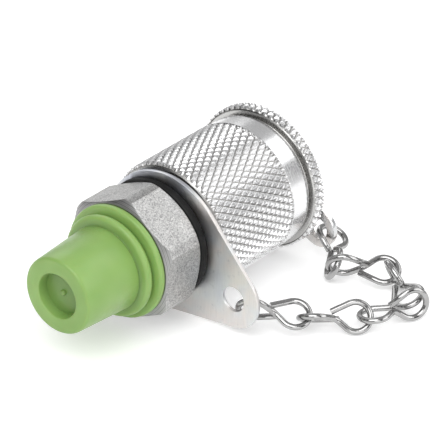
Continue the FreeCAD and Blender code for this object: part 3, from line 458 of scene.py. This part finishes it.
def turnDown(mesh, thread):
    # the bar is turned down to the thread's root between two slopes, and its new ends are returned
    def onBar(vert):
        away = math.hypot(vert.co.y, vert.co.z) / mm
        inside = thread["from"] < vert.co.x / mm < thread["to"]
        return inside and abs(away - thread["crest"]) < barWithin
    along = [vert.co.x for vert in mesh.verts if onBar(vert)]
    start = min(along) + barMargin * mm
    end = max(along) - barMargin * mm
    slope = thread["pitch"] / 2 * mm
    nearlyAll = 0.9 * slope             # the slopes' lower edges are past this
    for place in (start, start + slope, end - slope, end):
        faces = [face for face in mesh.faces if all(onBar(vert) for vert in face.verts)]
        edges = {edge for face in faces for edge in face.edges}
        verts = {vert for face in faces for vert in face.verts}
        bmesh.ops.bisect_plane(mesh, geom=[*verts, *edges, *faces], plane_co=(place, 0, 0),
                               plane_no=alongAxis)
    for vert in mesh.verts:
        if onBar(vert) and start + nearlyAll < vert.co.x < end - nearlyAll:
            vert.co.yz = vert.co.yz * thread["root"] / thread["crest"]
    return start, end


# Camera, lights, table and the tent round them.

studio = {
    "eye": (-0.3573, -0.3092, 0.2703),
    "towards": (0.67647, 0.55112, -0.48851),
    "lens": 324.3, "film": 36.0, "near": 0.01,
    "table": -0.01086, "tableSize": 3.0,
    "lamps": {
        "key": {"from": (-0.45, -0.20, 0.65), "size": 0.80, "power": 4.6},
        "side": {"from": (0.30, -0.70, 0.35), "size": 0.55, "power": 1.7},
        "roof": {"from": (0.55, -0.28, 0.53), "size": 0.50, "power": 0.9},
        "front": {"from": (-0.40, -0.62, 0.16), "size": 0.50, "power": 1.1},
        "rear": {"from": (0.35, 0.60, 0.45), "size": 0.55, "power": 1.1},
    },
    "aim": (0.014, -0.006, 0.0),
}


def makeCamera():
    data = bpy.data.cameras.new("camera")
    data.lens = studio["lens"]
    data.sensor_width = studio["film"]
    data.clip_start = studio["near"]
    camera = bpy.data.objects.new("camera", data)
    camera.location = studio["eye"]
    camera.rotation_euler = Vector(studio["towards"]).to_track_quat("-Z", "Y").to_euler()
    bpy.context.scene.collection.objects.link(camera)
    bpy.context.scene.camera = camera


def makeLamps():
    for name, lamp in studio["lamps"].items():
        data = bpy.data.lights.new(name, "AREA")
        data.shape = "DISK"
        data.size = lamp["size"]
        data.energy = lamp["power"]
        lampObject = bpy.data.objects.new(name, data)
        lampObject.location = lamp["from"]
        aim = Vector(studio["aim"]) - Vector(lamp["from"])
        lampObject.rotation_euler = aim.to_track_quat("-Z", "Y").to_euler()
        bpy.context.scene.collection.objects.link(lampObject)


def makeTable():
    # white paper that looks white to the camera and in metal, and keeps the shadow
    mesh = bmesh.new()
    bmesh.ops.create_grid(mesh, x_segments=1, y_segments=1, size=studio["tableSize"])
    bmesh.ops.translate(mesh, vec=(0, 0, studio["table"]), verts=mesh.verts)
    data = bpy.data.meshes.new("table")
    mesh.to_mesh(data)
    mesh.free()
    paper = Finish("paper", {"Roughness": 0.9, "Base Color": (0.88, 0.88, 0.88, 1.0),
                             "Emission Strength": 0.30, "Specular IOR Level": 0.1})
    seen = paper.node("ShaderNodeLightPath", None, None, "Is Camera Ray")
    mirrored = paper.node("ShaderNodeLightPath", None, None, "Is Glossy Ray")
    through = paper.node("ShaderNodeLightPath", None, None, "Is Transmission Ray")
    either = seen.maths("MAXIMUM", seen, mirrored)
    anyRay = either.maths("MAXIMUM", either, through)
    paper.feed("Emission Color", paper.blend(anyRay, grey(0.0), grey(1.0)))
    data.materials.append(paper.material)
    table = bpy.data.objects.new("table", data)
    bpy.context.scene.collection.objects.link(table)


def makeSky():
    # a tent: pale round the horizon, greyer overhead, and dark cards that metal mirrors as streaks
    # heights are pairs of height and grey
    # a card has a bearing, half its width, its lower and its upper height
    tent = {
        "heights": [(0.0, 0.66), (0.12, 0.66), (0.32, 0.46), (0.60, 0.52), (1.0, 0.52)],
        "cards": [
            (-2.62, 0.16, 0.05, 0.75), (-1.80, 0.20, 0.0, 0.60), (-1.15, 0.12, 0.05, 0.60),
            (-0.72, 0.06, 0.12, 0.45), (0.10, 0.09, 0.0, 0.40), (1.25, 0.20, 0.08, 0.75),
            (2.30, 0.30, 0.0, 0.60), (3.0, 0.12, 0.0, 0.60)],
        "cardDark": 0.92,
    }
    world = bpy.data.worlds.new("tent")
    bpy.context.scene.world = world
    world.use_nodes = True
    sky = Nodes(world.node_tree, "Background", "Generated")
    x, y, z = sky.axes()
    pale = sky.colours(z, [(height, grey(level)) for height, level in tent["heights"]])
    bearing = y.maths("ARCTAN2", y, x)
    dark = 0.0
    for turnBy, wide, low, high in tent["cards"]:
        dark = dark + (abs(bearing - turnBy) < wide) * (z > low) * (z < high)
    sky.feed("Color", sky.blend(dark * tent["cardDark"], pale, grey(0.0)))
    sky.shader.inputs["Strength"].default_value = 1.0


makeCamera()
makeLamps()
makeTable()
makeSky()
bpy.context.scene.view_settings.view_transform = "Standard"
print("studio ready")


# Screw cap: turned shell, long diamond knurl, smooth band, groove and knurled flange.

screwCap = {
    "start": 10.6, "mouth": 8.75, "mouthLong": 1.3, "bore": 8.05,
    "crest": 10.0, "knurlEnd": 25.85, "band": 9.85, "bandEnd": 29.4, "neck": 9.3,
    "flangeStart": 30.0, "flange": 10.8, "end": 31.8, "sealFace": 26.55,
    "recess": 3.4, "recessFloor": 28.4, "shank": 1.58,
    "skin": 0.03,                         # the turned shell lies this far under the knurl's root
    "mouthEdge": (0.2, 0.25), "mouthSlope": 0.3,
    "bandSlope": (0.1, 0.25), "bandLine": (0.45, 0.40), "bandSteps": (0.05, 0.08),
    "grooveSlopes": (0.1, 0.05), "flangeEdge": (0.15, 0.2), "endEdge": (0.1, 0.15),
    "rounds": [(0.12, (5, 7, 9)), (0.06, (13, 0))], "sharp": 28.0,
    "knurl": {"crest": 10.0, "deep": 0.38, "count": 56, "start": 10.75, "end": 25.95, "slope": 0.3,
              "sunk": 0.02, "steps": [(0.27, 0.80), (0.12, 0.20)]},
    "rimKnurl": {"crest": 10.8, "deep": 0.38, "count": 60, "start": 30.05, "end": 31.75, "slope": 0.14,
                 "sunk": 0.02, "steps": [(0.27, 0.80), (0.12, 0.20)]},
    "thread": {"crest": 8.05, "foot": 8.50, "pitch": 2.0, "start": 13.2, "end": 24.9, "slope": 0.4,
               "sunk": 0.05},
}


def makeScrewCap():
    cap = screwCap
    under = cap["crest"] - cap["knurl"]["deep"] - cap["skin"]
    rimUnder = cap["flange"] - cap["rimKnurl"]["deep"] - cap["skin"]
    thread = cap["thread"]
    threadFloor = thread["foot"] - thread["sunk"]
    mouthEnd = cap["start"] + cap["mouthLong"]
    mesh = bmesh.new()
    outline = [
        (cap["start"], cap["mouth"]),
        (cap["start"], under - cap["mouthEdge"][1]),
        (cap["start"] + cap["mouthEdge"][0], under),
        (cap["knurlEnd"] + cap["bandSlope"][0], under),
        (cap["knurlEnd"] + cap["bandSlope"][1], cap["band"]),
        (cap["bandEnd"] - cap["bandLine"][0], cap["band"]),
        (cap["bandEnd"] - cap["bandLine"][1], cap["band"] - cap["bandSteps"][0]),
        (cap["bandEnd"], cap["band"] - cap["bandSteps"][1]),
        (cap["bandEnd"] + cap["grooveSlopes"][0], cap["neck"]),
        (cap["flangeStart"] - cap["grooveSlopes"][1], cap["neck"]),
        (cap["flangeStart"], rimUnder - cap["flangeEdge"][1]),
        (cap["flangeStart"] + cap["flangeEdge"][0], rimUnder),
        (cap["end"] - cap["endEdge"][0], rimUnder),
        (cap["end"], rimUnder - cap["endEdge"][1]),
        (cap["end"], cap["shank"]),
        (cap["recessFloor"], cap["shank"]),
        (cap["recessFloor"], cap["recess"]),
        (cap["sealFace"], cap["recess"]),
        (cap["sealFace"], cap["bore"]),
        (thread["end"] + thread["slope"], cap["bore"]),
        (thread["end"], threadFloor),
        (thread["start"], threadFloor),
        (thread["start"] - thread["slope"], cap["bore"]),
        (mouthEnd, cap["bore"]),
        (mouthEnd - cap["mouthSlope"], cap["mouth"])]
    latheInto(mesh, outline, cap["rounds"])
    knurlInto(mesh, cap["knurl"])
    knurlInto(mesh, cap["rimKnurl"])
    windRidge(mesh, thread, thread["start"] * mm, thread["end"] * mm)
    finished(mesh, "screwCap", "cap", "platedCap", ("screw_cap",), cap["sharp"])


makeScrewCap()
print("screw cap made")


# Green cap: soft cone with a recess, a bead and a flange.

greenCap = {
    "tip": -12.8, "tipRadius": 5.6, "baseRadius": 6.2, "recess": 3.3, "recessDeep": 1.5,
    "nub": 0.45, "nubLong": 0.4, "beadStart": -2.7, "beadEnd": -1.4, "bead": 7.45, "neck": 6.55,
    "flangeStart": -1.0, "flange": 8.3, "back": -0.05, "bore": 5.08, "wall": 0.8,
    "nubTaper": 0.8, "recessDraft": (0.05, 0.15), "footGroove": (0.3, 0.12),
    "rounds": [(0.16, (1, 4)), (0.45, (5,)), (0.62, (9, 10)), (0.14, (11, 12)), (0.42, (13,)), (0.2, (14,))],
    "sharp": 50.0,
}


def makeGreenCap():
    cap = greenCap
    floor = cap["tip"] + cap["recessDeep"]
    mesh = bmesh.new()
    outline = [
        (floor - cap["nubLong"], 0.0),
        (floor - cap["nubLong"], cap["nub"] * cap["nubTaper"]),
        (floor, cap["nub"]),
        (floor + cap["recessDraft"][0], cap["recess"] - cap["recessDraft"][1]),
        (cap["tip"], cap["recess"]),
        (cap["tip"], cap["tipRadius"]),
        (cap["beadStart"] - cap["footGroove"][0], cap["baseRadius"]),
        (cap["beadStart"] - cap["footGroove"][1], cap["baseRadius"] - cap["footGroove"][1]),
        (cap["beadStart"], cap["baseRadius"]),
        (cap["beadStart"], cap["bead"]),
        (cap["beadEnd"], cap["bead"]),
        (cap["beadEnd"], cap["neck"]),
        (cap["flangeStart"], cap["neck"]),
        (cap["flangeStart"], cap["flange"]),
        (cap["back"], cap["flange"]),
        (cap["back"], cap["bore"]),
        (floor + cap["wall"], cap["bore"]),
        (floor + cap["wall"], 0.0)]
    latheInto(mesh, outline, cap["rounds"])
    finished(mesh, "greenCap", "stud_cap", "greenPlastic", ("protective_cap",), cap["sharp"])


makeGreenCap()
print("green cap made")


# Pieces that keep the shape of their solid: smooth shaded, with their sharp edges broken.
# An edge of 0 leaves the mesh as it is.

edgeFrom = 24           # degrees from which an edge is broken
flatWithin = 1          # degrees within which facets are one face
smoothBelow = 32.0      # degrees below which faces shade smoothly, where a piece names no other
barThreads = [
    {"crest": 5.0, "root": 4.42, "foot": 4.36, "pitch": 1.0, "from": -8.1, "to": -1.5},
    {"crest": 7.95, "root": 6.85, "foot": 6.78, "pitch": 2.0, "from": 9.0, "to": 25.5},
]
solidPieces = {
    "coupling_body": {"finish": "hexSteel", "edge": 0.06, "smooth": 20.0, "threads": barThreads},
    "stud_seal": {"finish": "blackRubber", "edge": 0.05},
    "damper_ring": {"finish": "blackRubber", "edge": 0.0},
    "valve_insert": {"finish": "innerSteel", "edge": 0.04},
    "probe_seal": {"finish": "blackRubber", "edge": 0.0},
    "insert_seal": {"finish": "blackRubber", "edge": 0.0},
    "valve_poppet": {"finish": "innerSteel", "edge": 0.04},
    "poppet_seal": {"finish": "blackRubber", "edge": 0.0},
    "valve_spring": {"finish": "springSteel", "edge": 0.0,
                     "squash": {"joint": "valve_lift", "fixedEnd": 3.0, "lift": 1.5}},
    "retaining_plate": {"finish": "zincPlate", "edge": 0.05},
    "chain_tag": {"finish": "zincTag", "edge": 0.07},
    "rivet_washer": {"finish": "zincTag", "edge": 0.04},
    "cap_rivet": {"finish": "innerSteel", "edge": 0.05},
    "cap_seal": {"finish": "blackRubber", "edge": 0.04},
}
for number in range(1, 7):
    solidPieces["chain_link_%d" % number] = {"finish": "chainWire", "edge": 0.0}
bodyOf = {name: body for body, names in frame["record"]["behaviour"]["bodies"].items() for name in names}


def dressSolid(name, look):
    mesh = bmesh.new()
    mesh.from_mesh(frame["nodes"][name].data)
    bmesh.ops.remove_doubles(mesh, verts=mesh.verts[:], dist=weldWithin * mm)
    if look["edge"]:
        bmesh.ops.dissolve_limit(mesh, angle_limit=math.radians(flatWithin), verts=mesh.verts[:],
                                 edges=mesh.edges[:])
        wound = [(thread, *turnDown(mesh, thread)) for thread in look.get("threads", ())]
        sharp = [edge for edge in mesh.edges
                 if edge.is_manifold and edge.calc_face_angle() > math.radians(edgeFrom)]
        bmesh.ops.bevel(mesh, geom=sharp, offset=look["edge"] * mm, offset_type="OFFSET", affect="EDGES",
                        segments=2, profile=0.5, material=-1, clamp_overlap=True)
        bmesh.ops.triangulate(mesh, faces=mesh.faces[:])
        for thread, start, end in wound:
            windRidge(mesh, thread, start, end)
    piece = finished(mesh, name + "_dressed", bodyOf[name], look["finish"], (name,),
                     look.get("smooth", smoothBelow))
    if look["edge"]:
        even = piece.modifiers.new("even", "WEIGHTED_NORMAL")     # flats stay flat beside their broken edges
        even.mode = "FACE_AREA"
        even.keep_sharp = True
    if "squash" in look:
        squash = look["squash"]
        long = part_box(name)[1][0] / mm - squash["fixedEnd"]
        squash["fixedEnd"] * mm
        (long - squash["lift"]) / long
        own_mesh(piece)


for solidName, solidLook in solidPieces.items():
    dressSolid(solidName, solidLook)
print("solids dressed:", len(solidPieces))
